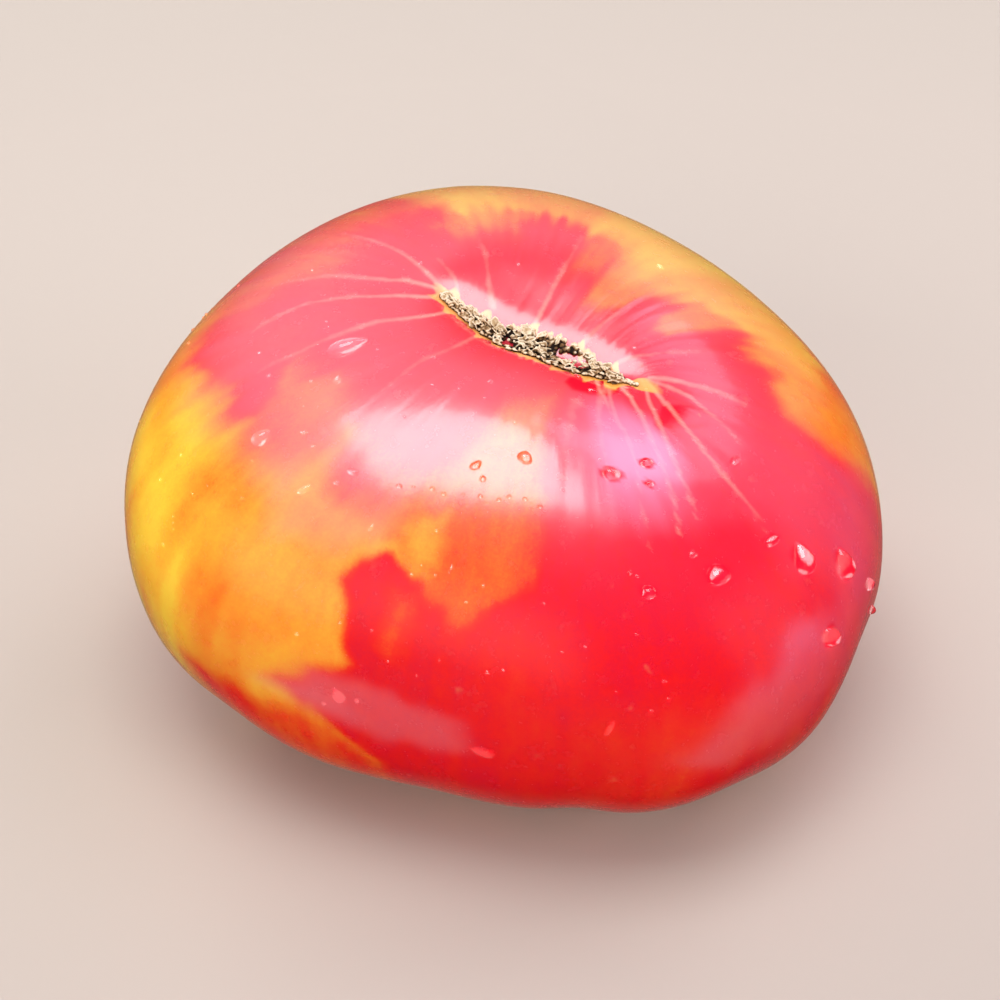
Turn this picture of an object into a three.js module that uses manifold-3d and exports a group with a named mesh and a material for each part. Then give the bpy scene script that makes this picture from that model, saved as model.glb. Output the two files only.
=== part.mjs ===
import * as THREE from 'three';
import { mergeVertices } from 'three/addons/utils/BufferGeometryUtils.js';
import Module from 'manifold-3d';

// Sizes are in millimetres and angles in degrees. A big ribbed beefsteak tomato rests stem end down,
// with its blossom end on top. A place on the skin is given by its polar angle, 0 at the blossom end
// and 180 at the stem end, and by its azimuth, counted from +X.

// The body: an oblate, slightly squared ball, a little taller on its blossom side
const GIRTH_RADIUS = 58;
const HALF_HEIGHT = 36.4;
const CROWN_RISE = 1.4;
const CROWN_SQUARENESS = 0.056;
const BASE_SQUARENESS = 0.145;

// How far the girth departs from a circle
const GIRTH_WAVES = [
  { count: 2, share: 0.0394, crest: -29.6 },
  { count: 3, share: 0.0367, crest: -39.7 },
  { count: 4, share: 0.0152, crest: 28 },
];

// The blossom end leans over, while the stem end stays level
const LEAN_TO_X = 6.66;
const LEAN_TO_FRONT = 10.4;

// Low swellings all over, each a wave along one direction through the fruit
const SWELLINGS = [
  { height: 0.24, along: [5.1, 1.3, 2.2], phase: 0.4 },
  { height: 0.2, along: [-2.4, 4.6, 3.1], phase: 2.1 },
  { height: 0.14, along: [3.3, -7.2, 1.4], phase: 4.4 },
  { height: 0.1, along: [8.6, 4.9, -5.2], phase: 1.2 },
];

// Furrows between the lobes. They start at the shoulder, are full and then deeper at the polar angles
// below, and fade out just before the stem end.
const FURROWS = [
  { azimuth: -168, width: 8, depth: 1.6 },
  { azimuth: -140.8, width: 9, depth: 1.14 },
  { azimuth: -104.6, width: 7, depth: 0.3 },
  { azimuth: -78, width: 6, depth: 1.18 },
  { azimuth: -54.5, width: 7, depth: 1.04 },
  { azimuth: -29.7, width: 8, depth: 4.66 },
  { azimuth: 1.7, width: 7, depth: 0.64 },
  { azimuth: 35, width: 8, depth: 1.4 },
  { azimuth: 66, width: 8, depth: 1.8 },
  { azimuth: 98, width: 9, depth: 1.2 },
  { azimuth: 128, width: 9, depth: 1.9 },
  { azimuth: 160, width: 9, depth: 1.3 },
];
const FURROW_START = 68.8;
const FURROW_FULL = 137.5;
const UNDERSIDE_EXTRA_DEPTH = 1.2;
const UNDERSIDE_START = 131.8;
const UNDERSIDE_FULL = 154.7;
const FURROW_END_FADE = 20;

// The stem end's round hollow, and the flat spots that the fruit rests on
const STEM_HOLLOW_DEPTH = 13.5;
const STEM_HOLLOW_WIDTH = 18.9;
const FLAT_DEPTH = 1.7;
const FLAT_BLEND = 0.8;

// The blossom scar: a long corky strip that lies in a crease of the crown. Places on it are given
// along it, from its middle towards SCAR_AZIMUTH, and across it, to the left of that direction.
const SKIN_PER_RADIAN = 61;
const SCAR_AZIMUTH = -29;
const SCAR_HALF_LENGTH = 16.3;
const SCAR_TAIL_SIDE = 0.35;
const SCAR_BOW = { depth: 2, along: -5, halfLength: 9.5 };
const SCAR_THICKNESS = 1.6;
const SCAR_EDGE_LIFT = 0.15;
const SCAR_FULL_AT_HALF_WIDTH = 1.6;
// Half width at places along the strip
const SCAR_OUTLINE = [
  [-16.3, 0], [-15, 0.9], [-8, 1.8], [-2, 2.7], [3, 2.8], [7, 2.1], [11, 1.1], [14, 0.35], [16.3, 0],
];
// Ripples of the ragged edges, as shares of the half width
const SCAR_EDGE_RIPPLES = [
  { share: 0.13, along: 2.6, side: 1 },
  { share: 0.09, along: 4.9, side: 2 },
];
const SCAR_LUMPS = [
  { height: 0.26, along: 2.1, across: 1.3, phase: 0.5 },
  { height: 0.2, along: 3.3, across: -2.2, phase: 2.6 },
];
// Oval gaps in the strip where the skin shows through, across counted from the strip's middle line
const SCAR_GAPS = [
  { along: 5.9, across: -0.4, halfLength: 1.7, halfWidth: 1 },
  { along: -2.9, across: -0.7, halfLength: 0.7, halfWidth: 0.4 },
];
const CREASE_DEPTH = 1.7;
const CREASE_HALF_WIDTH = 3;
const CREASE_HALF_LENGTH = 17;

// The crown dips round the scar
const CROWN_DIP = { depth: 4.5, halfLength: 24, halfWidth: 13 };

// The stem scar: a small corky disc in the bottom of the stem hollow
const STEM_SCAR_RADIUS = 5.6;
const STEM_SCAR_THICKNESS = 1.5;
const STEM_SCAR_EDGE = 0.3;
const STEM_SCAR_RIM = [
  { share: 0.06, count: 5, phase: 0 },
  { share: 0.04, count: 11, phase: 1 },
];
// The broken stub of the stalk and the moat round it, placed by shares of the radius
const STUB = { height: 0.7, width: 0.25 };
const MOAT = { depth: 0.5, middle: 0.5, width: 0.18 };

// Clearance between the fruit and each scar
const GAP = 0.3;

// Mesh: rings from the blossom scar to the stem end, and points round each ring
const RINGS = 46;
const RING_POINTS = 88;
const RING_CROWDING = 0.7;
const SCAR_STATIONS = 42;
const SCAR_STRIPS = 8;
const SCAR_GAP_SIDES = 14;
const SCAR_GAP_CUT_LENGTH = 8;
const MERGE_DISTANCE = 1e-4;
const STEM_SCAR_POINTS = 24;
const STEM_SCAR_RINGS = 5;
const NEAR_MIDDLE = 0.01;

const COLOURS = { skin: 0xe8443a, cork: 0xa08a68, stemCork: 0x8a7350 };
const ROUGHNESS = { skin: 0.3, cork: 0.9 };

const radians = THREE.MathUtils.degToRad;
const smooth = (value, from, to) => THREE.MathUtils.smoothstep(value, from, to);
const bell = (value, width) => Math.exp(-((value / width) ** 2));

function angleBetween(a, b) {
  return THREE.MathUtils.euclideanModulo(a - b + Math.PI, 2 * Math.PI) - Math.PI;
}

// How far across the scar's middle line is set, at a place along it
function scarMiddle(along) {
  return SCAR_TAIL_SIDE - SCAR_BOW.depth * bell(along - SCAR_BOW.along, SCAR_BOW.halfLength);
}

function furrowDepth(azimuth, polar) {
  const endFade = smooth(Math.PI - polar, 0, radians(FURROW_END_FADE));
  const side = smooth(polar, radians(FURROW_START), radians(FURROW_FULL)) * endFade;
  const under = smooth(polar, radians(UNDERSIDE_START), radians(UNDERSIDE_FULL)) * endFade;
  let depth = 0;
  for (const furrow of FURROWS) {
    const away = angleBetween(azimuth, radians(furrow.azimuth));
    depth += (furrow.depth * side + UNDERSIDE_EXTRA_DEPTH * under) * bell(away, radians(furrow.width));
  }
  return depth;
}

function swelling(azimuth, polar) {
  const x = Math.sin(polar) * Math.cos(azimuth);
  const y = Math.sin(polar) * Math.sin(azimuth);
  const z = Math.cos(polar);
  let height = 0;
  for (const wave of SWELLINGS) {
    height += wave.height * Math.sin(wave.along[0] * x + wave.along[1] * y + wave.along[2] * z + wave.phase);
  }
  return height;
}

// A point of the skin before the fruit is set down
function leaningSkin(azimuth, polar) {
  const [sin, cos] = [Math.sin(polar), Math.cos(polar)];
  let radius = GIRTH_RADIUS;
  for (const wave of GIRTH_WAVES) {
    radius += GIRTH_RADIUS * wave.share * Math.cos(wave.count * (azimuth - radians(wave.crest)));
  }
  const squareness = THREE.MathUtils.lerp(CROWN_SQUARENESS, BASE_SQUARENESS, (1 - cos) / 2);
  const relief = swelling(azimuth, polar) - furrowDepth(azimuth, polar);
  const out = radius * sin * (1 + squareness * cos * cos) + relief * sin;
  let up = (HALF_HEIGHT + CROWN_RISE * cos) * cos * (1 + squareness * sin * sin) + relief * cos;

  const along = SKIN_PER_RADIAN * polar * Math.cos(azimuth - radians(SCAR_AZIMUTH));
  const across = SKIN_PER_RADIAN * polar * Math.sin(azimuth - radians(SCAR_AZIMUTH));
  up -= CROWN_DIP.depth * bell(along, CROWN_DIP.halfLength) * bell(across, CROWN_DIP.halfWidth);
  const creaseEnd = Math.exp(-((along / CREASE_HALF_LENGTH) ** 4));
  up -= CREASE_DEPTH * bell(across - scarMiddle(along), CREASE_HALF_WIDTH) * creaseEnd;
  up += STEM_HOLLOW_DEPTH * bell(Math.PI - polar, radians(STEM_HOLLOW_WIDTH));

  const share = (1 + cos) / 2;
  return new THREE.Vector3(out * Math.cos(azimuth), out * Math.sin(azimuth), up)
    .applyAxisAngle(new THREE.Vector3(0, 1, 0), radians(LEAN_TO_X) * share)
    .applyAxisAngle(new THREE.Vector3(1, 0, 0), radians(LEAN_TO_FRONT) * share);
}

// Rings start as the scar's middle line, grow as ovals round it and end as circles round the stem end
function ringPlace(ring, turn) {
  const travel = ring * Math.PI;
  const reach = (SCAR_HALF_LENGTH / SKIN_PER_RADIAN) * (1 - ring) ** 2;
  const distance = SKIN_PER_RADIAN * travel;
  const along = Math.hypot(reach, travel) * Math.cos(turn);
  const shift = scarMiddle(SCAR_HALF_LENGTH * Math.cos(turn)) * bell(distance, SCAR_HALF_LENGTH);
  const across = travel * Math.sin(turn) + shift / SKIN_PER_RADIAN;
  return { azimuth: Math.atan2(across, along) + radians(SCAR_AZIMUTH), polar: Math.hypot(across, along) };
}

// Ring spacing is closest at the blossom scar and the stem end
function ringShare(index) {
  const even = index / RINGS;
  return even - (RING_CROWDING * Math.sin(2 * Math.PI * even)) / (2 * Math.PI);
}

function fruitRings() {
  const rings = [];
  for (let index = 0; index < RINGS; index += 1) {
    const ring = [];
    for (let step = 0; step < RING_POINTS; step += 1) {
      const place = ringPlace(ringShare(index), (2 * Math.PI * step) / RING_POINTS);
      ring.push(leaningSkin(place.azimuth, place.polar));
    }
    rings.push(ring);
  }
  return rings;
}

const rawRings = fruitRings();

// The fruit stands on z = 0 with its lowest lobes pressed flat, centred on the origin
function settingDown() {
  const box = new THREE.Box3().setFromPoints(rawRings.flat());
  const middle = box.getCenter(new THREE.Vector3());
  return new THREE.Vector3(-middle.x, -middle.y, -box.min.z - FLAT_DEPTH);
}

const setDown = settingDown();

function settled(point) {
  const placed = point.clone().add(setDown);
  if (placed.z < -FLAT_BLEND) placed.z = 0;
  else if (placed.z < FLAT_BLEND) placed.z = (placed.z + FLAT_BLEND) ** 2 / (4 * FLAT_BLEND);
  return placed;
}

// A point above the skin, along the skin's own direction there
function above(skin, u, v, lift) {
  const step = 0.2;
  const middle = skin(u, v);
  const first = skin(u + step, v).sub(middle);
  const second = skin(u, v + step).sub(middle);
  return middle.addScaledVector(first.cross(second).normalize(), lift);
}

function crownSkin(along, across) {
  const polar = Math.hypot(along, across) / SKIN_PER_RADIAN;
  return settled(leaningSkin(Math.atan2(across, along) + radians(SCAR_AZIMUTH), polar));
}

// The skin round the stem end, by distances along X and against Y
function hollowSkin(x, y) {
  return settled(leaningSkin(Math.atan2(-y, x), Math.PI - Math.hypot(x, y) / GIRTH_RADIUS));
}

function meshOf(name, points, faces, colour, roughness) {
  const geometry = new THREE.BufferGeometry().setFromPoints(points);
  geometry.setIndex(faces.flat());
  geometry.computeVertexNormals();
  const material = new THREE.MeshStandardMaterial({ color: colour, roughness, metalness: 0 });
  const mesh = new THREE.Mesh(geometry, material);
  mesh.name = name;
  return mesh;
}

function twoTriangles(a, b, c, d) {
  return [[a, b, c], [a, c, d]];
}

// The first ring is the scar's middle line, so its two sides share their points
function makeFruit() {
  const rings = rawRings.map((ring) => ring.map(settled));
  const half = RING_POINTS / 2;
  const points = [...rings[0].slice(0, half + 1), ...rings.slice(1).flat()];
  const stemEnd = points.push(settled(leaningSkin(0, Math.PI))) - 1;
  const at = (ring, step) => {
    const turned = step % RING_POINTS;
    if (ring === 0) return Math.min(turned, RING_POINTS - turned);
    return half + 1 + (ring - 1) * RING_POINTS + turned;
  };
  const faces = [];
  for (let step = 0; step < RING_POINTS; step += 1) {
    for (let ring = 0; ring < RINGS - 1; ring += 1) {
      const corners = [at(ring, step), at(ring + 1, step), at(ring + 1, step + 1), at(ring, step + 1)];
      const [a, b, c, d] = corners.map((corner) => points[corner]);
      const turned = b.distanceTo(d) < a.distanceTo(c) && ring > 0;
      faces.push(...(turned ? twoTriangles(...corners.slice(1), corners[0]) : twoTriangles(...corners)));
    }
    faces.push([at(RINGS - 1, step), stemEnd, at(RINGS - 1, step + 1)]);
  }
  return meshOf('fruit', points, faces, COLOURS.skin, ROUGHNESS.skin);
}

function scarHalfWidth(along) {
  const index = SCAR_OUTLINE.findIndex(([place]) => place > along);
  if (index < 1) return 0;
  const [from, to] = [SCAR_OUTLINE[index - 1], SCAR_OUTLINE[index]];
  return THREE.MathUtils.mapLinear(along, from[0], to[0], from[1], to[1]);
}

// How far across one edge of the strip is, on the left side, -1, or the right one, 1
function scarEdge(along, side) {
  let share = 1;
  for (const ripple of SCAR_EDGE_RIPPLES) {
    share += ripple.share * Math.sin(ripple.along * along + ripple.side * side);
  }
  return side * scarHalfWidth(along) * share;
}

function scarLift(along, across, side) {
  let lump = 0;
  for (const wave of SCAR_LUMPS) {
    lump += wave.height * Math.sin(wave.along * along + wave.phase) * Math.cos(wave.across * across);
  }
  const crown = Math.sqrt(1 - side * side);
  const taper = smooth(scarHalfWidth(along), 0, SCAR_FULL_AT_HALF_WIDTH);
  return SCAR_EDGE_LIFT + crown * (SCAR_THICKNESS + lump) * taper;
}

function solidOf(geometry, wasm) {
  const bare = geometry.clone();
  bare.deleteAttribute('normal');
  bare.deleteAttribute('uv');
  const merged = mergeVertices(bare, MERGE_DISTANCE);
  const vertProperties = new Float32Array(merged.attributes.position.array);
  const triVerts = new Uint32Array(merged.index.array);
  return new wasm.Manifold(new wasm.Mesh({ numProp: 3, vertProperties, triVerts }));
}

async function withGaps(geometry) {
  const wasm = await Module();
  wasm.setup();
  let solid = solidOf(geometry, wasm);
  for (const gap of SCAR_GAPS) {
    const place = crownSkin(gap.along, gap.across + scarMiddle(gap.along));
    const cutter = new THREE.CylinderGeometry(1, 1, SCAR_GAP_CUT_LENGTH, SCAR_GAP_SIDES)
      .rotateX(Math.PI / 2)
      .scale(gap.halfLength, gap.halfWidth, 1)
      .rotateZ(radians(SCAR_AZIMUTH))
      .translate(place.x, place.y, place.z);
    solid = solid.subtract(solidOf(cutter, wasm));
  }
  const { vertProperties, triVerts } = solid.getMesh();
  const cut = new THREE.BufferGeometry();
  cut.setAttribute('position', new THREE.BufferAttribute(vertProperties, 3));
  cut.setIndex(new THREE.BufferAttribute(triVerts, 1));
  cut.computeVertexNormals();
  return cut;
}

// Rows of points across the strip, on top and below, which meet at both edges
function scarRows(add) {
  const rows = [];
  for (let station = 1; station < SCAR_STATIONS; station += 1) {
    const along = SCAR_HALF_LENGTH * ((2 * station) / SCAR_STATIONS - 1);
    const row = { top: [], low: [] };
    for (let strip = 0; strip <= SCAR_STRIPS; strip += 1) {
      const side = (2 * strip) / SCAR_STRIPS - 1;
      const across = scarMiddle(along) + Math.abs(side) * scarEdge(along, Math.sign(side));
      const isEdge = strip === 0 || strip === SCAR_STRIPS;
      row.top.push(add(along, across, GAP + scarLift(along, across, side)));
      row.low.push(isEdge ? row.top[strip] : add(along, across, GAP));
    }
    rows.push(row);
  }
  return rows;
}

async function makeBlossomScar() {
  const points = [];
  const add = (along, across, lift) => points.push(above(crownSkin, along, across, lift)) - 1;
  const rows = scarRows(add);
  const [leftTip, rightTip] = [-1, 1].map((end) => {
    const along = end * SCAR_HALF_LENGTH;
    return add(along, scarMiddle(along), GAP + SCAR_EDGE_LIFT);
  });
  const [first, last] = [rows[0], rows.at(-1)];
  const faces = [];
  for (let strip = 0; strip < SCAR_STRIPS; strip += 1) {
    const next = strip + 1;
    for (let index = 1; index < rows.length; index += 1) {
      const [a, b] = [rows[index - 1], rows[index]];
      faces.push(...twoTriangles(a.top[strip], b.top[strip], b.top[next], a.top[next]));
      faces.push(...twoTriangles(a.low[strip], a.low[next], b.low[next], b.low[strip]));
    }
    faces.push([leftTip, first.top[strip], first.top[next]], [leftTip, first.low[next], first.low[strip]]);
    faces.push([rightTip, last.top[next], last.top[strip]], [rightTip, last.low[strip], last.low[next]]);
  }
  const mesh = meshOf('blossom_scar', points, faces, COLOURS.cork, ROUGHNESS.cork);
  mesh.geometry = await withGaps(mesh.geometry);
  return mesh;
}

function stemScarRim(turn) {
  let share = 1;
  for (const wave of STEM_SCAR_RIM) {
    share += wave.share * Math.sin(wave.count * turn + wave.phase);
  }
  return share * STEM_SCAR_RADIUS;
}

function stemScarLift(share) {
  const stub = STUB.height * bell(share, STUB.width);
  const moat = MOAT.depth * bell(share - MOAT.middle, MOAT.width);
  return GAP + STEM_SCAR_EDGE + (STEM_SCAR_THICKNESS + stub - moat) * (1 - share ** 4);
}

// A ring of cork round the broken stub of the stalk, with a ragged rim
function makeStemScar() {
  const points = [];
  const add = (x, y, lift) => points.push(above(hollowSkin, x, y, lift)) - 1;
  const layer = (liftAt) => {
    const rings = [[add(NEAR_MIDDLE, 0, liftAt(0))]];
    for (let ring = 1; ring <= STEM_SCAR_RINGS; ring += 1) {
      const share = ring / STEM_SCAR_RINGS;
      const row = [];
      for (let step = 0; step < STEM_SCAR_POINTS; step += 1) {
        const turn = (2 * Math.PI * step) / STEM_SCAR_POINTS;
        const reach = share * stemScarRim(turn);
        row.push(add(reach * Math.cos(turn), reach * Math.sin(turn), liftAt(share)));
      }
      rings.push(row);
    }
    return rings;
  };
  const outer = layer(stemScarLift);
  const inner = layer(() => GAP);
  const faces = [];
  for (let step = 0; step < STEM_SCAR_POINTS; step += 1) {
    const next = (step + 1) % STEM_SCAR_POINTS;
    faces.push([outer[0][0], outer[1][step], outer[1][next]], [inner[0][0], inner[1][next], inner[1][step]]);
    for (let ring = 1; ring < STEM_SCAR_RINGS; ring += 1) {
      const [a, b, c, d] = [outer[ring], outer[ring + 1], inner[ring], inner[ring + 1]];
      faces.push(...twoTriangles(a[step], b[step], b[next], a[next]));
      faces.push(...twoTriangles(c[step], c[next], d[next], d[step]));
    }
    const [rim, foot] = [outer[STEM_SCAR_RINGS], inner[STEM_SCAR_RINGS]];
    faces.push(...twoTriangles(rim[step], foot[step], foot[next], rim[next]));
  }
  return meshOf('stem_scar', points, faces, COLOURS.stemCork, ROUGHNESS.cork);
}

const tomato = new THREE.Group();
tomato.add(makeFruit(), await makeBlossomScar(), makeStemScar());

export default tomato;
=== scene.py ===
"""A big ribbed beefsteak tomato, red and gold, that stands stem end down. The skin repeats the formula of
the part's source and adds pleats, colour, a corky blossom scar, a stem scar and drops of water."""

import math

import bpy
import numpy as np
from mathutils import Euler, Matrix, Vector


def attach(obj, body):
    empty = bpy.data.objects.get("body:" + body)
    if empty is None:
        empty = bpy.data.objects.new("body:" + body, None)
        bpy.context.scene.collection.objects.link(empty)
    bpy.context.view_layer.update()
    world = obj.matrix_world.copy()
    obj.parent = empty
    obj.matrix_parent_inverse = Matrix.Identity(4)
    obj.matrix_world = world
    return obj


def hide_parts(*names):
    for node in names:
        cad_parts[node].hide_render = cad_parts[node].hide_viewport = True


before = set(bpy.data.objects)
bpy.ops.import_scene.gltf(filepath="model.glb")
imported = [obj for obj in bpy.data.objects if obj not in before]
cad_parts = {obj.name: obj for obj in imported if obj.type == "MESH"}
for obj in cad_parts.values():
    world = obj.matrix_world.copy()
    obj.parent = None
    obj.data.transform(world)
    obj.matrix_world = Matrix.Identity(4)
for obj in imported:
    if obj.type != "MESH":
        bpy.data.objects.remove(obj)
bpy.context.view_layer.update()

MM = 0.001
TAU = 2 * math.pi

# The body, in millimetres and degrees as in the part's source
GIRTH_RADIUS = 58.0
HALF_HEIGHT = 36.4
CROWN_RISE = 1.4
CROWN_SQUARENESS = 0.056
BASE_SQUARENESS = 0.145
GIRTH_WAVES = [(2, 0.0394, -29.6), (3, 0.0367, -39.7), (4, 0.0152, 28.0)]
LEAN_TO_X = 6.66
LEAN_TO_FRONT = 10.4
SWELLINGS = [
    (0.24, (5.1, 1.3, 2.2), 0.4),
    (0.2, (-2.4, 4.6, 3.1), 2.1),
    (0.14, (3.3, -7.2, 1.4), 4.4),
    (0.1, (8.6, 4.9, -5.2), 1.2),
]
# Azimuth, width and depth of the furrows between the lobes
FURROWS = [
    (-168, 8, 1.6),
    (-140.8, 9, 1.14),
    (-104.6, 7, 0.3),
    (-78, 6, 1.18),
    (-54.5, 7, 1.04),
    (-29.7, 8, 4.66),
    (1.7, 7, 0.64),
    (35, 8, 1.4),
    (66, 8, 1.8),
    (98, 9, 1.2),
    (128, 9, 1.9),
    (160, 9, 1.3),
]
FURROW_START = 68.8
FURROW_FULL = 137.5
UNDERSIDE_EXTRA_DEPTH = 1.2
UNDERSIDE_START = 131.8
UNDERSIDE_FULL = 154.7
FURROW_END_FADE = 20
STEM_HOLLOW_DEPTH = 13.5
STEM_HOLLOW_WIDTH = 18.9
FLAT_BLEND = 0.8
SKIN_PER_RADIAN = 61.0
SCAR_AZIMUTH = -29
SCAR_HALF_LENGTH = 16.3
SCAR_TAIL_SIDE = 0.35
SCAR_BOW_DEPTH = 2
SCAR_BOW_ALONG = -5
SCAR_BOW_HALF_LENGTH = 9.5
CREASE_DEPTH = 1.7
CREASE_HALF_WIDTH = 3
CREASE_HALF_LENGTH = 17
CROWN_DIP_DEPTH = 4.5
CROWN_DIP_HALF_LENGTH = 24
CROWN_DIP_HALF_WIDTH = 13
# How far the source moves the fruit to set it down on z = 0
SET_DOWN = np.array([0.988, -1.368, 28.912])


def smooth(value, start, end):
    share = np.clip((value - start) / (end - start), 0, 1)
    return share * share * (3 - 2 * share)


def bell(value, width):
    return np.exp(-((value / width) ** 2))


def mix(a, b, share):
    return a + (b - a) * share


def ring_points(radius, turned, height):
    """Points by radius, angle and height."""
    x, y, z = np.broadcast_arrays(radius * np.cos(turned), radius * np.sin(turned), height)
    return np.stack([x, y, z], axis=-1)


class Lattice:
    """Smooth seeded noise of a point, from -1 to 1, with one random value at each whole-number place."""

    SIDE = 32

    def __init__(self, seed):
        self.values = np.random.default_rng(seed).uniform(-1, 1, (self.SIDE,) * 3)

    def __call__(self, points):
        low = np.floor(points).astype(int)
        share = points - low
        share = share * share * (3 - 2 * share)
        total = 0.0
        for corner in np.ndindex(2, 2, 2):
            weight = np.prod(np.where(np.array(corner) == 1, share, 1 - share), axis=-1)
            at = (low + corner) % self.SIDE
            total = total + weight * self.values[at[..., 0], at[..., 1], at[..., 2]]
        return total


# The skin's shape

def scar_middle(along):
    """How far across the scar's middle line is, at a place along it."""
    return SCAR_TAIL_SIDE - SCAR_BOW_DEPTH * bell(along - SCAR_BOW_ALONG, SCAR_BOW_HALF_LENGTH)


def furrow_depth(azimuth, polar):
    end_fade = smooth(math.pi - polar, 0, math.radians(FURROW_END_FADE))
    side = smooth(polar, math.radians(FURROW_START), math.radians(FURROW_FULL)) * end_fade
    under = smooth(polar, math.radians(UNDERSIDE_START), math.radians(UNDERSIDE_FULL)) * end_fade
    depth = 0.0
    for place, width, deepest in FURROWS:
        away = (azimuth - math.radians(place) + math.pi) % TAU - math.pi
        depth = depth + (deepest * side + UNDERSIDE_EXTRA_DEPTH * under) * bell(away, math.radians(width))
    return depth


def swelling(azimuth, polar):
    x = np.sin(polar) * np.cos(azimuth)
    y = np.sin(polar) * np.sin(azimuth)
    z = np.cos(polar)
    return sum(
        height * np.sin(wave[0] * x + wave[1] * y + wave[2] * z + phase)
        for height, wave, phase in SWELLINGS
    )


def smooth_skin(azimuth, polar):
    """Points of the source's skin, before the flat spots are pressed."""
    sin, cos = np.sin(polar), np.cos(polar)
    radius = GIRTH_RADIUS
    for count, share, painted_light_and_shade in GIRTH_WAVES:
        radius = radius + GIRTH_RADIUS * share * np.cos(count * (azimuth - math.radians(painted_light_and_shade)))
    squareness = mix(CROWN_SQUARENESS, BASE_SQUARENESS, (1 - cos) / 2)
    relief = swelling(azimuth, polar) - furrow_depth(azimuth, polar)
    out = radius * sin * (1 + squareness * cos * cos) + relief * sin
    up = (HALF_HEIGHT + CROWN_RISE * cos) * cos * (1 + squareness * sin * sin) + relief * cos
    along = SKIN_PER_RADIAN * polar * np.cos(azimuth - math.radians(SCAR_AZIMUTH))
    across = SKIN_PER_RADIAN * polar * np.sin(azimuth - math.radians(SCAR_AZIMUTH))
    up = up - CROWN_DIP_DEPTH * bell(along, CROWN_DIP_HALF_LENGTH) * bell(across, CROWN_DIP_HALF_WIDTH)
    crease_end = np.exp(-((along / CREASE_HALF_LENGTH) ** 4))
    up = up - CREASE_DEPTH * bell(across - scar_middle(along), CREASE_HALF_WIDTH) * crease_end
    up = up + STEM_HOLLOW_DEPTH * bell(math.pi - polar, math.radians(STEM_HOLLOW_WIDTH))

    share = (1 + cos) / 2
    to_x, to_front = math.radians(LEAN_TO_X) * share, math.radians(LEAN_TO_FRONT) * share
    x, y = out * np.cos(azimuth), out * np.sin(azimuth)
    x, up = x * np.cos(to_x) + up * np.sin(to_x), up * np.cos(to_x) - x * np.sin(to_x)
    y, up = y * np.cos(to_front) - up * np.sin(to_front), y * np.sin(to_front) + up * np.cos(to_front)
    return np.stack([x, y, up], axis=-1) + SET_DOWN


def pressed_flat(points):
    z = points[..., 2]
    eased = np.where(z < -FLAT_BLEND, 0, (z + FLAT_BLEND) ** 2 / (4 * FLAT_BLEND))
    return np.concatenate([points[..., :2], np.where(z < FLAT_BLEND, eased, z)[..., None]], axis=-1)


def place_of(turn, distance):
    """Azimuth and polar angle of a place given by its turn round the scar, in degrees, and its distance
    from the scar's middle line, in millimetres of skin."""
    travel = distance / SKIN_PER_RADIAN
    turned = np.radians(turn)
    reach = SCAR_HALF_LENGTH / SKIN_PER_RADIAN * (1 - travel / math.pi) ** 2
    along = np.hypot(reach, travel) * np.cos(turned)
    shift = scar_middle(SCAR_HALF_LENGTH * np.cos(turned)) * bell(distance, SCAR_HALF_LENGTH)
    across = travel * np.sin(turned) + shift / SKIN_PER_RADIAN
    return np.arctan2(across, along) + math.radians(SCAR_AZIMUTH), np.hypot(across, along)


def ring_skin(turn, distance):
    return smooth_skin(*place_of(turn, distance))


def degree_width(turn, distance):
    """Millimetres of skin to a degree of turn."""
    return np.linalg.norm(ring_skin(turn + 0.5, distance) - ring_skin(turn - 0.5, distance), axis=-1)


def crown_skin(along, across):
    polar = np.hypot(along, across) / SKIN_PER_RADIAN
    return smooth_skin(np.arctan2(across, along) + math.radians(SCAR_AZIMUTH), polar)


def stem_skin(x, y):
    """The skin round the stem end, by distances along X and against Y."""
    return smooth_skin(np.arctan2(-y, x), math.pi - np.hypot(x, y) / GIRTH_RADIUS)


def raised(skin, u, v, lift, steps=(0.2, 0.2)):
    """Points above a skin, along its own direction."""
    middle = skin(u, v)
    first = skin(u + steps[0], v) - middle
    second = skin(u, v + steps[1]) - middle
    out = np.cross(first, second)
    out = out / np.linalg.norm(out, axis=-1, keepdims=True)
    return middle + out * np.asarray(lift)[..., None]


# Fine relief of the skin: pleats that run out from the scar, and a low waviness
PLEATS_ROUND = 38.0
PLEAT_STRETCH = 0.05
PLEAT_HEIGHT = 0.045
FINE_PLEATS_ROUND = 85.0
FINE_PLEAT_HEIGHT = 0.018
WAVINESS_SIZE = 9.0
WAVINESS_HEIGHT = 0.07
pleat_noise = Lattice(11)
fine_pleat_noise = Lattice(12)
waviness_noise = Lattice(13)


def grain_of(turn, distance, around, stretch):
    """A point for noise that is drawn out along the lines that run from the scar to the stem end."""
    return ring_points(around, np.radians(turn), distance * stretch)


def relief_of(turn, distance, points):
    pleats = pleat_noise(grain_of(turn, distance, PLEATS_ROUND / 2, PLEAT_STRETCH))
    fine = fine_pleat_noise(grain_of(turn, distance, FINE_PLEATS_ROUND / 2, 2 * PLEAT_STRETCH))
    near = smooth(distance, 0.5, 8) * mix(0.25, 1, bell(distance, 42))
    near = near * (1 - 0.8 * np.cos(np.radians(turn)) ** 2 * (1 - smooth(distance, 8, 36)))
    wave = waviness_noise(points / WAVINESS_SIZE) * smooth(distance, 2, 14)
    return (PLEAT_HEIGHT * pleats + FINE_PLEAT_HEIGHT * fine) * near + WAVINESS_HEIGHT * wave


def finished_skin(turn, distance, lift=0.0):
    """Points of the finished skin, or of a surface at a height above it."""
    smooth_points = ring_skin(turn, distance)
    height = relief_of(turn, distance, smooth_points) + lift
    return pressed_flat(raised(ring_skin, turn, distance, height, steps=(-0.4, 0.2)))


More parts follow.
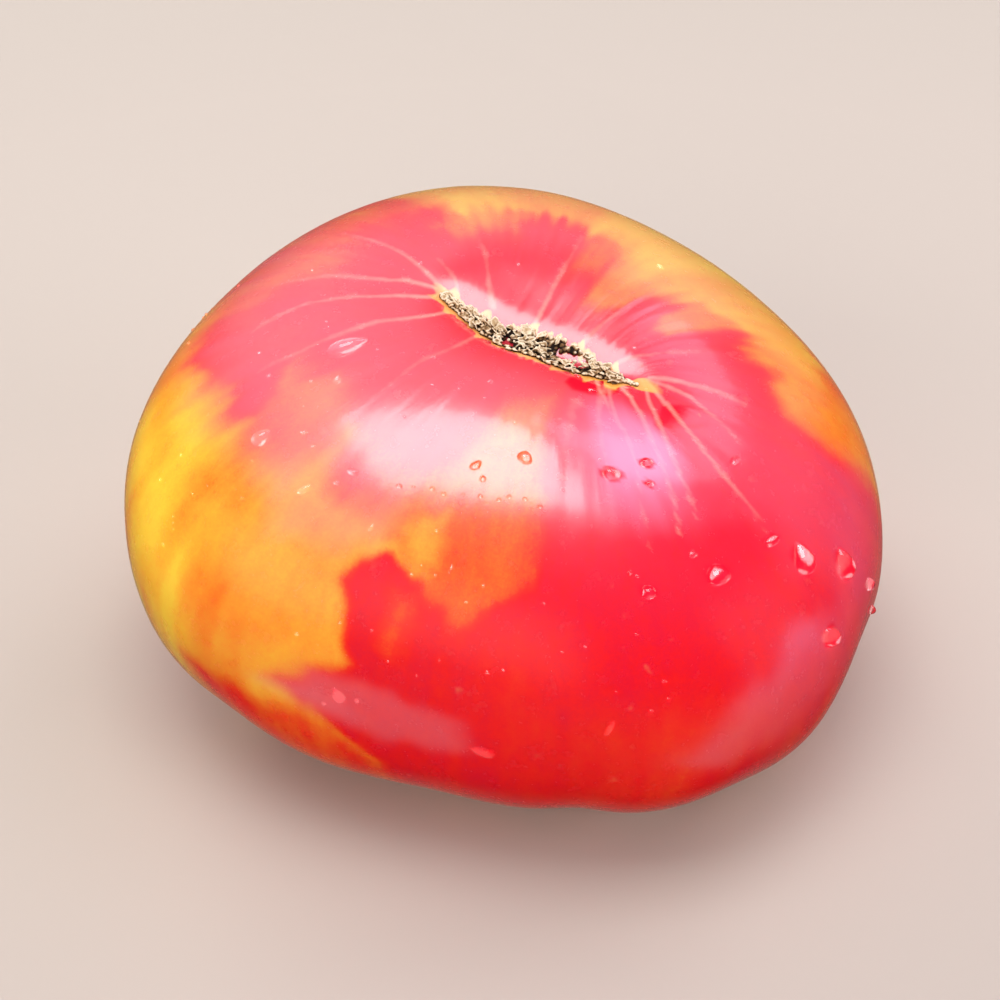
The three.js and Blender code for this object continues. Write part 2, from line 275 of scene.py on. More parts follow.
RINGS = 270
RING_POINTS = 360
RING_CROWDING = 0.7
STEM_END = math.pi * SKIN_PER_RADIAN


def ring_distance(index):
    even = index / RINGS
    return STEM_END * (even - RING_CROWDING * np.sin(TAU * even) / TAU)


def new_object(name, data):
    thing = bpy.data.objects.new(name, data)
    bpy.context.scene.collection.objects.link(thing)
    return thing


def mesh_object(name, points, faces, material):
    mesh = bpy.data.meshes.new(name)
    mesh.from_pydata((np.asarray(points) * MM).tolist(), [], [list(map(int, face)) for face in faces])
    mesh.update()
    mesh.polygons.foreach_set("use_smooth", [True] * len(mesh.polygons))
    mesh.materials.append(material)
    return new_object(name, mesh)


def add_values(piece, name, values):
    kind = "FLOAT" if values.ndim == 1 else "FLOAT_VECTOR"
    attribute = piece.data.attributes.new(name, kind, "POINT")
    key = "value" if values.ndim == 1 else "vector"
    attribute.data.foreach_set(key, values.astype(np.float32).ravel())


def cut_at_tips(quads, tips):
    """Neighbouring quads at the scar's tips share three points, so each is cut in two from the tip."""
    faces = []
    for quad in quads:
        at_tip = [place for place, corner in enumerate(quad) if corner in tips]
        if at_tip:
            first, second, third, fourth = quad[at_tip[0]:] + quad[: at_tip[0]]
            faces += [[first, second, third], [first, third, fourth]]
        else:
            faces.append(quad)
    return faces


def skin_grid():
    """Turn and distance of every point of the skin, and its faces. The first ring is the scar's middle
    line, whose two sides share their points, and the last point is the stem end."""
    half = RING_POINTS // 2
    turns = np.arange(RING_POINTS) * 360 / RING_POINTS
    distances = ring_distance(np.arange(RINGS))
    turn = np.concatenate([turns[: half + 1], np.tile(turns, RINGS - 1), [0]])
    distance = np.concatenate([np.zeros(half + 1), np.repeat(distances[1:], RING_POINTS), [STEM_END]])
    steps = np.arange(RING_POINTS)
    after = (steps + 1) % RING_POINTS
    first = half + 1
    inner, inner_after = np.minimum(steps, RING_POINTS - steps), np.minimum(after, RING_POINTS - after)
    faces = []
    for ring in range(1, RINGS):
        outer, outer_after = first + steps, first + after
        faces.append(np.stack([inner, outer, outer_after, inner_after], axis=1))
        inner, inner_after = outer, outer_after
        first += RING_POINTS
    quads = cut_at_tips(np.concatenate(faces).tolist(), (0, half))
    fan = np.stack([inner, np.full(RING_POINTS, first), inner_after], axis=1).tolist()
    return turn, distance, quads + fan


# Colour of the skin

def segment_distance(x, y, start, end):
    run = (end[0] - start[0], end[1] - start[1])
    share = ((x - start[0]) * run[0] + (y - start[1]) * run[1]) / (run[0] ** 2 + run[1] ** 2)
    share = np.clip(share, 0, 1)
    return np.hypot(x - start[0] - share * run[0], y - start[1] - share * run[1]), share


def inside_by(x, y, outline):
    """How far inside an outline each place is, negative outside."""
    nearest = np.full(x.shape, 1e9)
    inside = np.zeros(x.shape, bool)
    for start, end in zip(outline, outline[1:] + outline[:1]):
        nearest = np.minimum(nearest, segment_distance(x, y, start, end)[0])
        crosses = (start[1] > y) != (end[1] > y)
        rise = (end[1] - start[1]) or 1e-9
        inside ^= crosses & (x < start[0] + (y - start[1]) * (end[0] - start[0]) / rise)
    return np.where(inside, nearest, -nearest)


def painted(ground, layers, x, y):
    """Values with each layer laid over the ones before it, inside its outline."""
    for target, softness, outline in layers:
        share = 0.0
        for wrap in (0, 360, -360):
            share = np.maximum(share, smooth(inside_by(x + wrap, y, outline), -softness, softness))
        ground = mix(ground, target, share)
    return ground


# Areas of the skin, each painted over the ones before it: ripeness from 0, yellow, to 1, crimson, how
# soft the edge is in millimetres, and the outline by turn, in degrees, and distance, in millimetres
AREAS = [
    # Salmon and gold on the left side, which fade in below the crown
    (0.62, 5, [(-178, 60), (-160, 58), (-148, 57), (-142, 47), (-134, 45), (-130, 39), (-126, 33),
        (-118, 31), (-108, 33), (-80, 36), (-80, 60), (-178, 70)]),
    (0.3, 6, [(-205, 66), (-165, 64), (-150, 59), (-141, 51), (-133, 48), (-122, 50), (-112, 46),
        (-98, 46), (-78, 46), (-76, 118), (-90, 135), (-150, 160), (-205, 150)]),
    (0.36, 6, [(-150, 62), (-128, 55), (-112, 51), (-98, 50), (-95, 60), (-96, 78), (-104, 86),
        (-118, 84), (-150, 84)]),
    (0.11, 7, [(-205, 76), (-160, 72), (-142, 63), (-132, 62), (-124, 66), (-118, 74), (-114, 86),
        (-117, 104), (-126, 124), (-150, 140), (-205, 130)]),
    (0.32, 3, [(-108, 50), (-104, 54), (-97, 64), (-95, 74), (-99, 82), (-104, 76), (-108, 62)]),
    (0.34, 2, [(-112, 35), (-110, 35), (-107, 42), (-104, 50), (-105, 55), (-109, 53), (-111, 44)]),
    (0.5, 7, [(-137, 35), (-127, 30), (-118, 33), (-119, 43), (-130, 45)]),
    (0.14, 4, [(-137, 54), (-128, 52), (-124, 57), (-129, 63), (-139, 63)]),
    # Crimson blotches above it
    (1.0, 3, [(-144, 45), (-138, 39), (-132, 40), (-130, 46), (-137, 48)]),
    (0.95, 3, [(-151, 48), (-146, 46), (-144, 52), (-149, 55)]),
    (0.76, 4, [(-110, 39), (-105, 36), (-99, 41), (-102, 47), (-107, 45)]),
    (0.34, 4, [(-117, 64), (-111, 62), (-108, 76), (-110, 88), (-113, 84)]),
    (0.27, 4, [(-109, 86), (-96, 80), (-92, 96), (-98, 102), (-110, 102)]),
    (0.71, 5, [(-116, 101), (-94, 99), (-82, 109), (-76, 118), (-90, 132), (-112, 124)]),
    # Peach where the patch in front runs up into the crown
    (0.5, 6, [(-90, 44), (-80, 18), (-62, 12), (-58, 34), (-62, 44)]),
    # The red front, with a crisp edge at its left
    (0.93, 1.6, [(-60, 22), (-59, 36), (-60, 48), (-66, 54), (-71, 60), (-76, 61), (-80, 56), (-84, 52.5),
        (-88, 53), (-91.5, 56), (-93, 62), (-90.5, 67), (-89, 74), (-87, 79), (-88.5, 84), (-91, 90),
        (-90, 97), (-87, 102), (-81.5, 110), (-80, 125), (-86, 135), (-40, 150), (0, 140), (10, 110),
        (13, 80), (12, 56), (13, 44), (10, 30), (0, 22)]),
    # The vivid orange patch in front, with its yellow corner
    (0.62, 1.4, [(-89, 49), (-86, 41), (-80, 38), (-66, 36.5), (-61, 37), (-59.5, 41), (-59, 46),
        (-61, 51), (-64, 54), (-68, 58), (-71, 66), (-72.5, 68), (-75, 60), (-79, 54), (-84, 51)]),
    (0.34, 2.5, [(-88, 48), (-85, 42), (-80, 42), (-78, 47), (-79, 52), (-82, 52), (-85, 51)]),
    (0.85, 3.5, [(-98, 90), (-91, 83), (-84, 84), (-84, 100), (-88, 101)]),
    (0.42, 1.5, [(-64, 33), (-57, 34), (-58, 37), (-64, 38)]),
    (0.7, 2, [(-84, 58), (-80, 58), (-78, 66), (-80, 76), (-83, 74)]),
    # Crimson in the middle, deep red low down
    (1.0, 9, [(-58, 24), (-30, 20), (4, 24), (8, 60), (-8, 66), (-30, 62), (-58, 58)]),
    (0.9, 6, [(-76, 66), (-62, 64), (-56, 76), (-57, 98), (-66, 104), (-68, 84)]),
    (0.8, 7, [(-54, 84), (-38, 74), (-22, 84), (-12, 110), (-40, 128), (-56, 112)]),
    (0.94, 5, [(-34, 100), (-24, 98), (-18, 120), (-34, 122)]),
    # The orange right side
    (0.42, 4, [(12, 42), (18, 38), (28, 38), (30, 34), (43, 36), (54, 30), (66, 28), (74, 45), (70, 85),
        (50, 96), (26, 92), (15, 76), (13, 58)]),
    (0.18, 5, [(44, 30), (52, 28), (60, 22), (72, 20), (72, 60), (60, 72), (46, 66), (34, 58), (32, 50),
        (40, 38)]),
    (0.66, 10, [(20, 92), (40, 84), (60, 86), (78, 94), (78, 122), (20, 122)]),
    # Behind the scar
    (1.0, 4, [(8, 0), (90, 0), (172, 0), (160, 14), (120, 14), (90, 12), (60, 12), (46, 14), (24, 22),
        (12, 20)]),
    (0.5, 2.5, [(40, 17), (46, 15), (52, 19), (54, 30), (44, 34), (41, 26)]),
    (0.52, 3, [(64, 13), (72, 10), (82, 10), (84, 22), (72, 24), (63, 20)]),
    (0.6, 3, [(84, 15), (96, 14), (97, 24), (84, 24)]),
    (0.3, 4, [(62, 22), (74, 18), (88, 24), (104, 26), (140, 28), (152, 34), (150, 60), (60, 60)]),
    (0.05, 5, [(66, 30), (72, 24), (82, 30), (98, 28), (100, 60), (64, 60)]),
    (0.5, 4, [(120, 20), (146, 20), (152, 27), (118, 27)]),
    (0.06, 5, [(122, 28), (134, 25), (142, 28), (140, 60), (120, 60)]),
    (0.66, 6, [(150, 34), (185, 34), (205, 44), (205, 62), (150, 62)]),
    (0.3, 8, [(60, 58), (100, 56), (150, 58), (205, 60), (205, 110), (170, 130), (120, 120), (70, 100)]),
    # The underside: gold round the stem end, with red flames
    (0.62, 8, [(-205, 112), (-100, 118), (-80, 127), (0, 126), (20, 116), (100, 112), (205, 112),
        (205, 150), (-205, 150)]),
    (0.24, 6, [(-205, 140), (-60, 152), (60, 148), (205, 140), (205, 200), (-205, 200)]),
]

# Pale streaks that run out from the scar: strength, half width, and their places by turn and distance
STREAKS = [
    (0.9, 0.55, [(176, 7), (183, 17), (187, 21), (190, 32), (192, 44)]),
    (0.9, 0.55, [(-171, 6), (-164, 17), (-161, 23), (-158, 34), (-152, 44)]),
    (0.8, 0.5, [(-146, 4), (-145, 20), (-142, 30), (-138, 42)]),
    (0.8, 0.5, [(172, 8), (170, 19), (170, 29), (171, 45)]),
    (0.5, 0.5, [(-116, 4), (-117, 16), (-115, 30)]),
    (0.9, 0.6, [(-91, 0.5), (-88, 5.5)]),
    (0.7, 0.4, [(-85, 0.5), (-80, 6)]),
    (0.7, 0.4, [(-72, 0.8), (-67, 4.5)]),
    (0.35, 1.0, [(-54, 12), (-56, 30)]),
    (0.9, 0.45, [(-55, 0.5), (-47, 4.5), (-41, 9), (-37, 14)]),
    (0.5, 0.6, [(-42, 4), (-43, 16), (-45, 30)]),
    (0.6, 0.45, [(-40, 3), (-34, 18), (-36, 27), (-39, 42)]),
    (1.0, 0.5, [(-35, 0.5), (-28, 3), (-22, 9), (-23, 14), (-27, 24), (-32, 40)]),
    (0.8, 0.5, [(0, 6), (-18, 17), (-25, 29), (-27, 38)]),
    (0.9, 0.5, [(5, 8), (-6, 16), (-13, 27), (-15, 46)]),
    (0.7, 0.5, [(9, 8), (5, 20), (1, 26), (-1, 32)]),
    (0.7, 0.6, [(12, 9), (12, 19), (14, 25), (12, 31)]),
    (0.6, 0.5, [(44, 3), (36, 8), (32, 12), (30, 26)]),
    (0.6, 0.5, [(68, 3), (62, 15)]),
    (0.7, 0.5, [(95, 2), (98.5, 10), (99, 25)]),
    (0.6, 0.6, [(122, 4), (130, 8), (134, 12), (137, 19)]),
    (0.6, 0.5, [(155, 4), (160, 17)]),
]

UNPAINTED_RIPENESS = 0.94
# The turn of the crisp edges in front and of the red's middle, and how many degrees away the outlines
# get more ragged and then run wild
FRONT_TURN = -78
FRONT_START, FRONT_STOP = 34, 60
RED_MIDDLE = -72
FAR_START, FAR_STOP = 88, 122
# How far outlines are drawn aside and down, in degrees and millimetres
WARP_SIZE = 13.0
WARP_REACH = 2.4
FINE_WARP_SIZE = 3.2
FINE_WARP_REACH = 0.9
DRAWN_OUT = 1.2
STROKES_ROUND = 46.0
STROKE_REACH = 3.4
FRONT_CALM = 0.3
FAR_WILDNESS = 2.2
# How far flames and clouds shift the ripeness
FLAMES_ROUND = 34.0
FLAME_STRETCH = 0.04
FLAME_SHIFT = 0.06
LOW_FLAME_SHIFT = 0.12
FAR_FLAME_SHIFT = 0.08
CLOUD_SIZE = 8.0
CLOUD_SHIFT = 0.05
BLOTCH_SHIFT = 0.13
BLOTCHY_TURN = -170
warp_noises = [Lattice(seed) for seed in (21, 22, 23, 24)]
stroke_noise = Lattice(27)
flame_noise = Lattice(25)
fringe_noise = Lattice(28)
cloud_noise = Lattice(26)


def angle_off(turn, middle):
    return (turn - middle + 180) % 360 - 180


def beyond(turn, middle, start, stop):
    """0 within a number of degrees of a turn, and 1 past another."""
    return smooth(np.abs(angle_off(turn, middle)), start, stop)


def far_side(turn, distance):
    """1 on the side away from the red front, where flames and blotches run wilder."""
    return beyond(turn, RED_MIDDLE, FAR_START, FAR_STOP) * smooth(distance, 44, 62)


def warped(turn, distance, points):
    """The places with ragged, slightly drawn-out displacement, so that the listed outlines look grown."""
    coarse, fine = points / WARP_SIZE, points / FINE_WARP_SIZE
    strokes = stroke_noise(grain_of(turn, distance, STROKES_ROUND / 2, FLAME_STRETCH))
    strokes = strokes * mix(0.4, 1, smooth(distance, 14, 36))
    calm = mix(FRONT_CALM, 1, beyond(turn, FRONT_TURN, FRONT_START, FRONT_STOP))
    wilder = 1 + FAR_WILDNESS * far_side(turn, distance)
    aside = calm * WARP_REACH * warp_noises[0](coarse) + FINE_WARP_REACH * warp_noises[1](fine)
    down = calm * (DRAWN_OUT * WARP_REACH * warp_noises[2](coarse) + STROKE_REACH * strokes)
    down = down + DRAWN_OUT * FINE_WARP_REACH * warp_noises[3](fine)
    return turn + wilder * aside * smooth(distance, 4, 40), distance + wilder * down * smooth(distance, 4, 30)


def ripeness_of(turn, distance, points):
    """From 0, yellow, to 1, crimson."""
    ripe = painted(UNPAINTED_RIPENESS, AREAS, *warped(angle_off(turn, 0), distance, points))
    flames = flame_noise(grain_of(turn, distance, FLAMES_ROUND / 2, FLAME_STRETCH))
    fine_flames = flame_noise(grain_of(turn, distance, FLAMES_ROUND, FLAME_STRETCH))
    clouds = cloud_noise(points / CLOUD_SIZE)
    beside = mix(0.35, 1, beyond(turn, -60, FRONT_START, FRONT_STOP))
    blotchy = (1 - beyond(turn, BLOTCHY_TURN, 50, 80)) * smooth(distance, 18, 40)
    far = far_side(turn, distance)
    cloud_shift = CLOUD_SHIFT + BLOTCH_SHIFT * np.maximum(blotchy, far)
    ripe = ripe + beside * (FLAME_SHIFT * flames + cloud_shift * clouds) * smooth(distance, 6, 40)
    low_shift = mix(LOW_FLAME_SHIFT, FAR_FLAME_SHIFT, far) * smooth(distance, 64, 96)
    return np.clip(ripe + low_shift * beside * (flames + fine_flames), 0, 1)


def streaks_of(turn, distance, per_degree):
    """Streaks that start wide at the scar, taper and fade outwards."""
    wander = 1.2 * stroke_noise(grain_of(turn, distance, 8, 0.12))
    signed = angle_off(turn + wander, 0)
    most = np.zeros(turn.shape)
    for strength, width, line in STREAKS:
        parts = len(line) - 1
        for part, (start, end) in enumerate(zip(line, line[1:])):
            middle = (start[0] + end[0]) / 2
            aside = angle_off(signed, middle) * per_degree
            near = np.median(per_degree[np.abs(distance - (start[1] + end[1]) / 2) < 1])
            away, share = segment_distance(
                aside, distance, ((start[0] - middle) * near, start[1]), ((end[0] - middle) * near, end[1])
            )
            travel = (part + share) / parts
            most = np.maximum(most, strength * (1 - 0.6 * travel) * bell(away, width * (1.0 - 0.2 * travel)))
    return most


# The crust's edge: places along the scar and half widths
CRUST_OUTLINE = [
    (-16.3, 0), (-15, 0.7), (-8, 1.4), (-2, 2.5), (3, 2.8), (7, 2.1), (11, 1.1), (14, 0.35), (16.3, 0.1)
]
# The yellow fringe round it: its least width, and where it widens, by how much and over how many degrees
FRINGE_WIDTH = 0.9
FRINGE_ENDS = [(180, 7.5, 20), (2, 10, 11), (-90, 0.5, 80)]


def crust_half_width(along):
    places, widths = zip(*CRUST_OUTLINE)
    ripple = 1 + 0.16 * np.sin(2.6 * along) + 0.12 * np.sin(5.3 * along + 1)
    return np.interp(along, places, widths) * ripple


def fringe_of(turn, distance, per_degree):
    """The yellow rim round the crust: wide at its two ends, thin behind, with a point under each streak."""
    turned = np.radians(turn)
    edge = crust_half_width(SCAR_HALF_LENGTH * np.cos(turned)) / np.maximum(np.abs(np.sin(turned)), 0.3)
    width = FRINGE_WIDTH + 0.6 * fringe_noise(grain_of(turn, distance, 9, 0))
    for place, reach, spread in FRINGE_ENDS:
        width = width + reach * bell(angle_off(turn, place), spread)
    points = sum(
        strength * bell(angle_off(turn, line[0][0]) * per_degree, 0.7) * (line[0][1] < 10)
        for strength, _, line in STREAKS
    )
    width = np.maximum(width + mix(2.2, 6, np.cos(turned) ** 2) * np.clip(points, 0, 1), 0.3)
    past_edge = distance - edge
    return smooth(past_edge, -1.2, -0.4) * (1 - smooth(past_edge, 0.5 * width, width))


# Painted sheens, painted highlights and painted rim light, laid into the colour over a waxy haze that veils
# the skin: strength, softness and outline, as for AREAS
BLOOM_AND_PAINTED_SHEENS = [
    (0.4, 12, [(-190, 30), (-150, 22), (-124, 26), (-120, 42), (-150, 56), (-190, 58)]),
    (0.07, 12, [(-34, 0), (-30, 20), (-32, 60), (20, 60), (46, 40), (40, 12), (36, 0)]),
    (0.08, 5, [(0, 0), (180, 0), (165, 14), (120, 18), (90, 18), (50, 17), (24, 26), (0, 24)]),
    (0.4, 6, [(-130, 34), (-112, 30), (-96, 34), (-98, 48), (-112, 52), (-128, 46)]),
    (0.26, 4, [(-112, 44), (-84, 37), (-79, 44), (-84, 50), (-92, 53), (-108, 58)]),
    (0.01, 4, [(-89, 40), (-60, 37), (-30, 38), (-8, 44), (30, 50), (30, 84), (-88, 80)]),
    (0.58, 5, [(-46, 14), (-30, 13), (-21, 17), (-20, 25), (-30, 32), (-44, 31)]),
    (0.1, 6, [(-12, 38), (4, 34), (12, 40), (14, 66), (-4, 64), (-12, 54)]),
    (0.36, 5, [(-99, 92), (-92, 86), (-84, 86), (-74, 89), (-70, 94), (-78, 96), (-90, 97)]),
    (0.2, 4, [(-92, 88), (-80, 85), (-70, 88), (-70, 97), (-80, 100)]),
    (0.32, 4, [(-36, 93), (-31, 83), (-24, 74), (-14, 67), (-12, 74), (-20, 80), (-27, 88), (-32, 95)]),
    (0.17, 8, [(-36, 92), (-31, 84), (-22, 72), (-4, 66), (10, 60), (12, 70), (4, 86), (-16, 90), (-29, 96)]),
    (0.17, 9, [(-2, 60), (8, 54), (14, 60), (14, 92), (4, 92), (-2, 80)]),
    (0.0, 1.2, [(-62, 5), (-56, 2), (-33, 1), (-31, 6), (-38, 8), (-48, 8.6), (-57, 8.6), (-62, 7)]),
    (0.0, 0.8, [(-20.5, 18.5), (-12, 16.5), (-7, 15.5), (-1, 19), (3, 24), (0, 26), (-6, 23), (-12, 20.5)]),
]

# The last two outlines are films of water
WET_FILMS = [outline for strength, softness, outline in BLOOM_AND_PAINTED_SHEENS[-2:]]


def bloom_and_sheen_of(turn, distance, points):
    # Painted sheen over the whole crown, fading down the sides, under the painted sheens and highlights of
    # the outlines
    crown_bloom_and_sheen = 0.3 * (1 - smooth(distance, 32, 58)) * mix(0.4, 1, smooth(distance, 3, 16))
    return painted(crown_bloom_and_sheen, BLOOM_AND_PAINTED_SHEENS, *warped(angle_off(turn, 0), distance, points))


# Drops of water. Each has its turn and distance, half sizes across and down the slope, height, in
# millimetres, its tilt in degrees, and how much narrower it is at its upper end.
DROPS = [
    (-28, 49, 1.9, 2.2, 1.3, 0, 0.15),
    (-11.5, 55, 1.9, 3.6, 1.5, 12, 0.45),
    (-4, 64, 1.7, 4.0, 1.5, 10, 0.4),
    (-13, 74, 1.6, 3.0, 1.4, -8, 0.4),
    (-15, 48, 1.6, 1.1, 0.8, 15, 0.1),
    (-41, 50, 1.1, 1.5, 0.9, 0, 0.2),
    (-43, 28, 1.7, 1.3, 0.9, 70, 0.3),
    (-67, 28, 1.1, 1.2, 0.8, 0, 0.2),
    (-79, 32, 0.7, 1.1, 0.6, 20, 0.2),
    (-76, 34, 0.5, 0.7, 0.4, -20, 0.2),
    (-32, 26, 1.1, 1.1, 0.8, 60, 0.1),
    (-34, 30, 0.7, 0.9, 0.5, 0, 0.2),
    (-8, 33, 1.2, 0.9, 0.6, 10, 0.1),
    (-31, 44, 0.7, 0.8, 0.5, 0, 0.1),
    (-88, 89, 1.0, 2.0, 0.9, -15, 0.3),
    (-85, 89, 0.4, 0.8, 0.4, 0, 0.1),
    (-90, 93, 0.4, 0.7, 0.3, 0, 0.1),
    (-103, 41, 0.9, 0.8, 0.5, 20, 0.1),
    (-104, 44, 0.5, 0.6, 0.35, 0, 0.1),
    (-65, 95, 2.0, 1.6, 0.6, 30, 0.2),
    (-48, 81, 0.45, 2.6, 0.4, 14, 0.5),
    (-136.5, 26, 1.4, 3.6, 1.1, -4, 0.25),
    (-126, 30, 0.5, 0.9, 0.5, -40, 0.2),
    (-123, 46, 1.1, 2.1, 1.0, -10, 0.2),
    (-108, 48, 0.6, 1.4, 0.5, 10, 0.2),
    (-118, 40, 0.4, 0.6, 0.3, 0, 0.1),
    (-93, 49, 0.35, 0.9, 0.3, 0, 0.3),
    (-76, 52, 0.3, 1.0, 0.3, 0, 0.3),
    (1, 77, 0.9, 1.8, 0.9, 0, 0.2),
    (2, 88, 0.8, 1.3, 0.8, 0, 0.2),
    (73, 29, 0.7, 0.6, 0.35, 0, 0.1),
    (118, 13, 0.45, 0.5, 0.3, 0, 0.1),
    (169, 18, 0.5, 0.5, 0.3, 0, 0.1),
    (41, 9, 0.5, 0.7, 0.3, 30, 0.1),
    (-60, 3.7, 0.8, 0.5, 0.35, 30, 0.2),
    (-47, 7.5, 0.9, 0.6, 0.35, 10, 0.2),
]
# The first of them are large enough to wet the skin's look
BIG_DROPS = 12
DEGREE_WIDTH = math.radians(1) * SKIN_PER_RADIAN


def painted_sky_sheen_of(turn, distance):
    """Where the painted sheen is a painted lilac reflection of the sky: the side that faces the sky."""
    side = smooth(angle_off(turn, 0), -62, -40) * (1 - smooth(angle_off(turn, 0), 24, 60))
    return side * (1 - smooth(distance, 66, 84))


def wet_of(turn, distance):
    """The skin under water, 1 in films and under the large drops."""
    signed = angle_off(turn, 0)
    wet = np.zeros(turn.shape)
    for outline in WET_FILMS:
        wet = np.maximum(wet, smooth(inside_by(signed, distance, outline), -0.8, 0.8))
    for place, middle, half_across, half_down, *_ in DROPS[:BIG_DROPS]:
        aside = angle_off(turn, place) * DEGREE_WIDTH * np.sin(distance / SKIN_PER_RADIAN)
        reach = np.hypot(aside / half_across, (distance - middle) / half_down)
        wet = np.maximum(wet, 1 - smooth(reach, 0.8, 1.1))
    return wet


# Materials

class Nodes:
    """The node tree of a material or a world, with short calls."""

    def __init__(self, owner, shader):
        owner.use_nodes = True
        self.tree = owner.node_tree
        self.shader = self.tree.nodes[shader]

    def add(self, kind, inputs=None, **settings):
        node = self.tree.nodes.new(kind)
        for key, value in settings.items():
            setattr(node, key, value)
        for key, value in (inputs or {}).items():
            self.feed(node.inputs[key], value)
        return node

    def feed(self, socket, value):
        if isinstance(value, bpy.types.NodeSocket):
            self.tree.links.new(value, socket)
        else:
            socket.default_value = value

    def values(self, name, output="Fac"):
        return self.add("ShaderNodeAttribute", attribute_name=name).outputs[output]

    def noise(self, vector, scale, detail=3.0, roughness=0.55):
        node = self.add("ShaderNodeTexNoise", {"Scale": scale, "Detail": detail, "Roughness": roughness})
        self.feed(node.inputs["Vector"], vector)
        return node.outputs["Fac"]

    def math(self, operation, *values, clamp=False):
        node = self.add("ShaderNodeMath", operation=operation, use_clamp=clamp)
        for index, value in enumerate(values):
            self.feed(node.inputs[index], value)
        return node.outputs[0]

    def blend(self, share, first, second, kind="MIX"):
        node = self.add("ShaderNodeMix", data_type="RGBA", blend_type=kind)
        self.feed(node.inputs[0], share)
        self.feed(node.inputs[6], first)
        self.feed(node.inputs[7], second)
        return node.outputs[2]

    def ramp(self, share, stops):
        node = self.add("ShaderNodeValToRGB", {"Fac": share})
        elements = node.color_ramp.elements
        while len(elements) < len(stops):
            elements.new(0.5)
        for element, (place, colour) in zip(elements, stops):
            element.position = place
            element.color = colour
        return node.outputs["Color"]

    def span(self, value, low, high, to_low=0.0, to_high=1.0):
        node = self.add("ShaderNodeMapRange", {"Value": value, "From Min": low, "From Max": high})
        self.feed(node.inputs["To Min"], to_low)
        self.feed(node.inputs["To Max"], to_high)
        return node.outputs["Result"]

    def bump(self, height, strength, distance):
        node = self.add("ShaderNodeBump", {"Strength": strength, "Distance": distance})
        self.feed(node.inputs["Height"], height)
        return node.outputs["Normal"]

    def set(self, **values):
        for key, value in values.items():
            self.feed(self.shader.inputs[key.replace("_", " ")], value)


def new_material(name):
    material = bpy.data.materials.new(name)
    return material, Nodes(material, "Principled BSDF")


def rgb(red, green, blue):
    """A colour from its display values, 0 to 255."""
    shares = [value / 255 for value in (red, green, blue)]
    linear = [share / 12.92 if share <= 0.04045 else ((share + 0.055) / 1.055) ** 2.4 for share in shares]
    return (*linear, 1.0)


# The skin's colour by ripeness
RIPENING = [
    (0.0, rgb(250, 202, 60)),
    (0.15, rgb(248, 180, 50)),
    (0.3, rgb(246, 156, 44)),
    (0.45, rgb(244, 126, 30)),
    (0.6, rgb(240, 90, 18)),
    (0.75, rgb(238, 40, 16)),
    (0.88, rgb(234, 10, 16)),
    (1.0, rgb(224, 2, 38)),
]
STREAK_COLOUR = rgb(255, 186, 158)
FRINGE_COLOUR = rgb(255, 180, 76)
# Colour of the painted sheen over the waxy haze
BLOOM_AND_SHEEN_COLOUR = rgb(220, 148, 162)
# Colour of the painted lilac reflection of the sky
LILAC_SKY_SHEEN_COLOUR = rgb(214, 160, 200)
MOTTLE_SCALE = 420
PORE_SCALE = 2600
# How far each pattern shifts the ripeness
WET_SHIFT = 0.12
STREAK_SHIFT = 0.16
MOTTLE_SHIFT = 0.2
PORE_SHIFT = 0.18
SKIN_ROUGHNESS = (0.22, 0.3)
WET_SMOOTHING = 0.14


def skin_material():
    material, nodes = new_material("tomato_skin")
    grain = nodes.values("grain", "Vector")
    place = nodes.add("ShaderNodeTexCoord").outputs["Object"]
    ripe = nodes.values("ripe")
    streaks = nodes.math("SUBTRACT", nodes.noise(grain, 1.0, 4), 0.5)
    mottle = nodes.math("SUBTRACT", nodes.noise(place, MOTTLE_SCALE, 5, 0.62), 0.5)
    pores = nodes.math("SUBTRACT", nodes.noise(place, PORE_SCALE, 2), 0.5)
    wet = nodes.values("wet")
    for pattern, shift in ((wet, WET_SHIFT), (streaks, STREAK_SHIFT), (mottle, MOTTLE_SHIFT)):
        ripe = nodes.math("MULTIPLY_ADD", pattern, shift, ripe)
    ripe = nodes.math("MULTIPLY_ADD", pores, PORE_SHIFT, ripe, clamp=True)
    colour = nodes.ramp(ripe, RIPENING)
    pale = nodes.math("MULTIPLY_ADD", mottle, 0.8, nodes.values("pale"))
    colour = nodes.blend(nodes.span(pale, 0.12, 1.0, 0.0, 0.7), colour, STREAK_COLOUR)
    fringe = nodes.math("MULTIPLY_ADD", mottle, 1.2, nodes.values("fringe"))
    colour = nodes.blend(nodes.span(fringe, 0.2, 0.9, 0.0, 0.9), colour, FRINGE_COLOUR)
    # Painted sheen over the waxy haze, lilac where it is a painted reflection of the sky, laid over the
    # colour
    bloom_and_sheen = nodes.blend(nodes.values("painted_sky_sheen"), BLOOM_AND_SHEEN_COLOUR, LILAC_SKY_SHEEN_COLOUR)
    colour = nodes.blend(nodes.values("bloom_and_sheen"), colour, bloom_and_sheen)
    roughness = nodes.span(mottle, -0.3, 0.3, *SKIN_ROUGHNESS)
    roughness = nodes.math("MULTIPLY_ADD", wet, -WET_SMOOTHING, roughness)
    height = nodes.math("MULTIPLY_ADD", streaks, 0.5, nodes.math("MULTIPLY", pores, 0.25))
    nodes.set(Base_Color=colour, Roughness=roughness, Normal=nodes.bump(height, 0.25, 0.0002))
    nodes.set(Specular_IOR_Level=1.0, Coat_Weight=0.75, Coat_Roughness=0.12)
    nodes.set(Subsurface_Weight=0.08, Subsurface_Scale=0.003, Subsurface_Radius=(1.0, 0.35, 0.2))
    return material


GRAIN_ROUND = 60.0
GRAIN_STRETCH = 0.11


